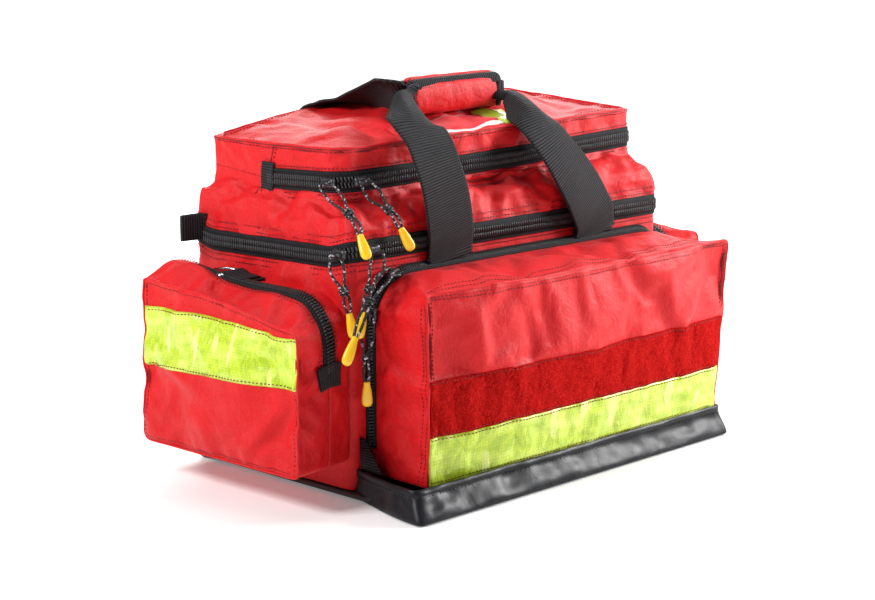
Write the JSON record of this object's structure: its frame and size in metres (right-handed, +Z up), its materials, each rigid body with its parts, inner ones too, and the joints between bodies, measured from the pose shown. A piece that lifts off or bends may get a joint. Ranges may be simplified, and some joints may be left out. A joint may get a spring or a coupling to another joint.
{
  "type": "emergency carry bag",
  "caption": "Padded red holdall on a black tray, with a hinged lid carrying an upper compartment, a front pocket, end pockets and webbing handles.",
  "frame": {"origin": "on the ground, in the middle of the bag's footprint with its end pockets", "axes": "+X along the long front, to the right as the front pocket is faced; -Y out of the front pocket; +Z up"},
  "size_m": [0.504, 0.268, 0.328],
  "materials": {
    "red_polyester": "coated woven polyester, low sheen",
    "black_tarpaulin": "PVC-coated tarpaulin, soft gloss",
    "stiffener_board": "matt",
    "divider_fabric": "padded woven lining",
    "zip_tape": "woven tape with nylon coil",
    "black_webbing": "ribbed polyester webbing",
    "name_strip": "smooth coated strip",
    "loop_fabric": "brushed loop pile",
    "reflective_tape": "fluorescent prismatic tape",
    "ring_steel": "polished plated steel",
    "slider_metal": "black-plated die casting",
    "pull_cord": "braided cord with pale flecks",
    "pull_plastic": "moulded, satin"
  },
  "bodies": {
    "bag": {"base_tray": "black_tarpaulin", "base_board": "stiffener_board", "body_shell": "red_polyester", "padded_dividers": "divider_fabric", "main_zip_lower": "zip_tape", "body_zip_tabs": "black_webbing", "front_pocket_zip_rear": "zip_tape", "side_pocket_left_base": "red_polyester", "side_pocket_right_base": "red_polyester", "side_zips_rear": "zip_tape", "d_ring_tabs": "black_webbing", "handle_strap_ends": "black_webbing"},
    "lid": {"lid_shell": "red_polyester", "main_zip_upper": "zip_tape", "upper_walls": "red_polyester", "upper_zip_lower": "zip_tape", "upper_zip_tabs": "black_webbing"},
    "top_flap": {"top_panel": "red_polyester", "upper_zip_upper": "zip_tape", "top_strip": "name_strip"},
    "front_pocket": {"front_pocket_shell": "red_polyester", "front_loop_strip": "loop_fabric", "front_reflective_tape": "reflective_tape", "front_pocket_zip_front": "zip_tape"},
    "side_pocket_left": {"side_pocket_left_cover": "red_polyester", "side_reflective_left": "reflective_tape", "side_zip_left": "zip_tape"},
    "side_pocket_right": {"side_pocket_right_cover": "red_polyester", "side_reflective_right": "reflective_tape", "side_zip_right": "zip_tape"},
    "front_handle": {"front_handle_webbing": "black_webbing", "front_grip_half": "red_polyester"},
    "rear_handle": {"rear_handle_webbing": "black_webbing", "rear_grip_half": "red_polyester"},
    "d_ring_left": {"d_ring_left": "ring_steel"},
    "d_ring_right": {"d_ring_right": "ring_steel"},
    "slider_main_left": {"slider_main_left": "slider_metal"},
    "pull_main_left": {"pull_cord_main_left": "pull_cord", "pull_end_main_left": "pull_plastic"},
    "slider_main_front": {"slider_main_front": "slider_metal"},
    "pull_main_front": {"pull_cord_main_front": "pull_cord", "pull_end_main_front": "pull_plastic"},
    "slider_upper_left": {"slider_upper_left": "slider_metal"},
    "pull_upper_left": {"pull_cord_upper_left": "pull_cord", "pull_end_upper_left": "pull_plastic"},
    "slider_upper_front": {"slider_upper_front": "slider_metal"},
    "pull_upper_front": {"pull_cord_upper_front": "pull_cord", "pull_end_upper_front": "pull_plastic"},
    "slider_pocket_top": {"slider_pocket_top": "slider_metal"},
    "pull_pocket_top": {"pull_cord_pocket_top": "pull_cord", "pull_end_pocket_top": "pull_plastic"},
    "slider_pocket_side": {"slider_pocket_side": "slider_metal"},
    "pull_pocket_side": {"pull_cord_pocket_side": "pull_cord", "pull_end_pocket_side": "pull_plastic"},
    "slider_side_left": {"slider_side_left": "slider_metal"},
    "pull_side_left": {"pull_cord_side_left": "pull_cord", "pull_end_side_left": "pull_plastic"},
    "slider_side_right": {"slider_side_right": "slider_metal"},
    "pull_side_right": {"pull_cord_side_right": "pull_cord", "pull_end_side_right": "pull_plastic"}
  },
  "joints": [
    {"name": "lid_open", "type": "hinge", "parent": "bag", "child": "lid", "pos_m": [0, 0.13, 0.2], "axis": [-1, 0, 0], "range_deg": [0, 95], "deforming": ["front_handle_webbing", "front_grip_half", "rear_handle_webbing", "rear_grip_half"]},
    {"name": "top_flap_open", "type": "hinge", "parent": "lid", "child": "top_flap", "pos_m": [0, 0.12, 0.256], "axis": [-1, 0, 0], "range_deg": [0, 50]},
    {"name": "front_handle_swing", "type": "hinge", "parent": "bag", "child": "front_handle", "pos_m": [0, -0.062, 0.19], "axis": [1, 0, 0], "range_deg": [0, 96]},
    {"name": "rear_handle_swing", "type": "hinge", "parent": "bag", "child": "rear_handle", "pos_m": [0, 0.1323, 0.19], "axis": [-1, 0, 0], "range_deg": [0, 155]},
    {"name": "front_pocket_open", "type": "hinge", "parent": "bag", "child": "front_pocket", "pos_m": [0, -0.1342, 0.0225], "axis": [1, 0, 0], "range_deg": [0, 70]},
    {"name": "side_pocket_left_open", "type": "hinge", "parent": "bag", "child": "side_pocket_left", "pos_m": [-0.2522, 0, 0.033], "axis": [0, -1, 0], "range_deg": [0, 75]},
    {"name": "side_pocket_right_open", "type": "hinge", "parent": "bag", "child": "side_pocket_right", "pos_m": [0.2522, 0, 0.033], "axis": [0, 1, 0], "range_deg": [0, 75]},
    {"name": "d_ring_left_swing", "type": "hinge", "parent": "bag", "child": "d_ring_left", "pos_m": [-0.206, 0.062, 0.1729], "axis": [1, 0, 0], "range_deg": [0, 150]},
    {"name": "d_ring_right_swing", "type": "hinge", "parent": "bag", "child": "d_ring_right", "pos_m": [0.206, 0.062, 0.1729], "axis": [1, 0, 0], "range_deg": [0, 150]},
    {"name": "slider_main_left_slide", "type": "slide", "parent": "bag", "child": "slider_main_left", "axis": [0, 1, 0], "range_m": [0, 0.15], "deforming": ["pull_cord_main_left", "pull_end_main_left"]},
    {"name": "pull_main_left_swing", "type": "hinge", "parent": "slider_main_left", "child": "pull_main_left", "pos_m": [-0.1955, -0.05, 0.2], "axis": [0, 1, 0], "range_deg": [0, 120]},
    {"name": "slider_main_front_slide", "type": "slide", "parent": "bag", "child": "slider_main_front", "axis": [1, 0, 0], "range_m": [0, 0.042], "deforming": ["pull_cord_main_front", "pull_end_main_front"]},
    {"name": "pull_main_front_swing", "type": "hinge", "parent": "slider_main_front", "child": "pull_main_front", "pos_m": [-0.167, -0.0665, 0.2], "axis": [-1, 0, 0], "range_deg": [0, 120]},
    {"name": "slider_upper_left_slide", "type": "slide", "parent": "lid", "child": "slider_upper_left", "axis": [0, 1, 0], "range_m": [0, 0.076], "deforming": ["pull_cord_upper_left", "pull_end_upper_left"]},
    {"name": "pull_upper_left_swing", "type": "hinge", "parent": "slider_upper_left", "child": "pull_upper_left", "pos_m": [-0.1825, -0.029, 0.256], "axis": [0, 1, 0], "range_deg": [0, 120]},
    {"name": "slider_upper_front_slide", "type": "slide", "parent": "lid", "child": "slider_upper_front", "axis": [1, 0, 0], "range_m": [0, 0.312], "deforming": ["pull_cord_upper_front", "pull_end_upper_front"]},
    {"name": "pull_upper_front_swing", "type": "hinge", "parent": "slider_upper_front", "child": "pull_upper_front", "pos_m": [-0.156, -0.0415, 0.256], "axis": [-1, 0, 0], "range_deg": [0, 120]},
    {"name": "slider_pocket_top_slide", "type": "slide", "parent": "front_pocket", "child": "slider_pocket_top", "axis": [1, 0, 0], "range_m": [0, 0.285], "deforming": ["pull_cord_pocket_top", "pull_end_pocket_top"]},
    {"name": "pull_pocket_top_swing", "type": "hinge", "parent": "slider_pocket_top", "child": "pull_pocket_top", "pos_m": [-0.144, -0.065, 0.1837], "axis": [-1, 0, 0], "range_deg": [0, 120]},
    {"name": "slider_pocket_side_slide", "type": "slide", "parent": "front_pocket", "child": "slider_pocket_side", "axis": [0, 0, -1], "range_m": [0, 0.05], "deforming": ["pull_cord_pocket_side", "pull_end_pocket_side"]},
    {"name": "pull_pocket_side_swing", "type": "hinge", "parent": "slider_pocket_side", "child": "pull_pocket_side", "pos_m": [-0.1827, -0.065, 0.156], "axis": [-1, 0, 0], "range_deg": [0, 120]},
    {"name": "slider_side_left_slide", "type": "slide", "parent": "bag", "child": "slider_side_left", "axis": [0, 0, 1], "range_m": [0, 0.05], "deforming": ["pull_cord_side_left", "pull_end_side_left"]},
    {"name": "pull_side_left_swing", "type": "hinge", "parent": "slider_side_left", "child": "pull_side_left", "pos_m": [-0.214, 0.1317, 0.1], "axis": [1, 0, 0], "range_deg": [0, 120]},
    {"name": "slider_side_right_slide", "type": "slide", "parent": "bag", "child": "slider_side_right", "axis": [0, 0, 1], "range_m": [0, 0.05], "deforming": ["pull_cord_side_right", "pull_end_side_right"]},
    {"name": "pull_side_right_swing", "type": "hinge", "parent": "slider_side_right", "child": "pull_side_right", "pos_m": [0.214, 0.1317, 0.1], "axis": [1, 0, 0], "range_deg": [0, 120]}
  ],
  "couplings": [
    {"joint": "top_flap_open", "follows": "lid_open", "ratio": 0.5},
    {"joint": "front_handle_swing", "follows": "lid_open", "ratio": 1},
    {"joint": "rear_handle_swing", "follows": "lid_open", "ratio": 1.6}
  ]
}
